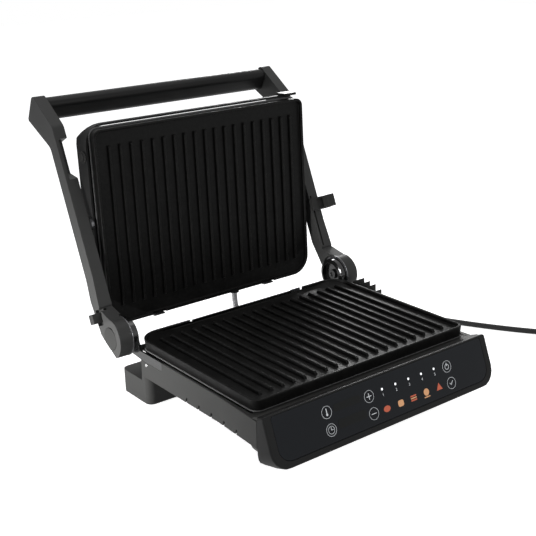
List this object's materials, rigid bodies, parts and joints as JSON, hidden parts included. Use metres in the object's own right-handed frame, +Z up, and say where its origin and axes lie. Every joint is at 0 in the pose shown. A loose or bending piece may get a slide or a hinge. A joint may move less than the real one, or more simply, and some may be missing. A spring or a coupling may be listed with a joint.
{
  "type": "electric contact grill",
  "caption": "Countertop contact grill with a ribbed lower plate, a hinged floating upper plate in a carrying bar frame, and a sloping touch panel.",
  "frame": {"origin": "on the surface that the grill stands on, under the middle of its bounding box without the cord", "axes": "+X to the right seen from the control panel, +Y to the rear, +Z up"},
  "size_m": [0.6464, 0.4781, 0.3212],
  "materials": {
    "charcoal_plastic": "satin charcoal moulding",
    "black_plastic": "satin black moulding",
    "plug_plastic": "moulded plug",
    "non_stick": "cast aluminium with a dark non-stick coat",
    "panel_glass": "printed touch panel",
    "bright_steel": "bright steel",
    "tinned_sheet": "tinned sheet",
    "black_rubber": "black rubber",
    "circuit_board": "circuit board"
  },
  "bodies": {
    "base": {"base_housing": "charcoal_plastic", "front_fascia": "charcoal_plastic", "bottom_cover": "charcoal_plastic", "hinge_bracket_left": "charcoal_plastic", "hinge_bracket_right": "charcoal_plastic", "display_module": "black_plastic", "height_rack": "black_plastic", "terminal_block": "black_plastic", "power_plug": "plug_plastic", "touch_glass": "panel_glass", "bracket_screw_left": "bright_steel", "bracket_screw_right": "bright_steel", "hinge_ring_left": "bright_steel", "hinge_ring_right": "bright_steel", "hinge_screw_left": "bright_steel", "hinge_screw_right": "bright_steel", "lower_element": "bright_steel", "lower_thermostat": "bright_steel", "lower_hook_left": "bright_steel", "lower_hook_right": "bright_steel", "conduit": "bright_steel", "lower_reflector": "tinned_sheet", "front_foot_left": "black_rubber", "front_foot_right": "black_rubber", "rear_pad_left": "black_rubber", "rear_pad_right": "black_rubber", "conduit_boot": "black_rubber", "cord_gland": "black_rubber", "power_cord": "black_rubber", "cord_coil": "black_rubber", "control_board": "circuit_board"},
    "lid": {"arm_left": "charcoal_plastic", "arm_right": "charcoal_plastic", "hinge_cap_left": "charcoal_plastic", "hinge_cap_right": "charcoal_plastic", "handle_bar": "charcoal_plastic", "pivot_pin_left": "bright_steel", "pivot_pin_right": "bright_steel"},
    "upper": {"upper_housing": "charcoal_plastic", "upper_reflector": "tinned_sheet", "upper_element": "bright_steel", "upper_thermostat": "bright_steel", "tilt_boss_left": "black_plastic", "tilt_boss_right": "black_plastic", "upper_hook_left": "bright_steel", "upper_hook_right": "bright_steel", "conduit_socket": "black_rubber"},
    "latch": {"plate_latch": "black_plastic"},
    "lower_grill_plate": {"lower_plate": "non_stick"},
    "upper_grill_plate": {"upper_plate": "non_stick"},
    "clip": {"height_clip": "black_plastic"},
    "lock": {"lock_button": "black_plastic"}
  },
  "joints": [
    {"name": "lid_hinge", "type": "hinge", "parent": "base", "child": "lid", "pos_m": [0, 0.05133, 0.0746], "axis": [-1, 0, 0], "range_deg": [-111.84, 0]},
    {"name": "plate_tilt", "type": "hinge", "parent": "lid", "child": "upper", "pos_m": [0, 0.11634, 0.18716], "axis": [-1, 0, 0], "range_deg": [0, 19.26]},
    {"name": "clip_slide", "type": "slide", "parent": "lid", "child": "clip", "axis": [0, -0.3898, -0.9209], "range_m": [0, 0.045]},
    {"name": "lock_push", "type": "slide", "parent": "lid", "child": "lock", "axis": [1, 0, 0], "range_m": [0, 0.003], "stiffness_N_per_m": 300},
    {"name": "latch_pull", "type": "slide", "parent": "upper", "child": "latch", "axis": [0, 0.045, 0.999], "range_m": [0, 0.003], "stiffness_N_per_m": 400},
    {"name": "lower_plate_lift", "type": "slide", "parent": "base", "child": "lower_grill_plate", "axis": [0, 0, 1], "range_m": [0, 0.05]},
    {"name": "upper_plate_release", "type": "slide", "parent": "upper", "child": "upper_grill_plate", "axis": [0, -0.999, 0.045], "range_m": [0, 0.03]}
  ],
  "couplings": [
    {"joint": "plate_tilt", "follows": "lid_hinge", "ratio": -0.1722}
  ]
}
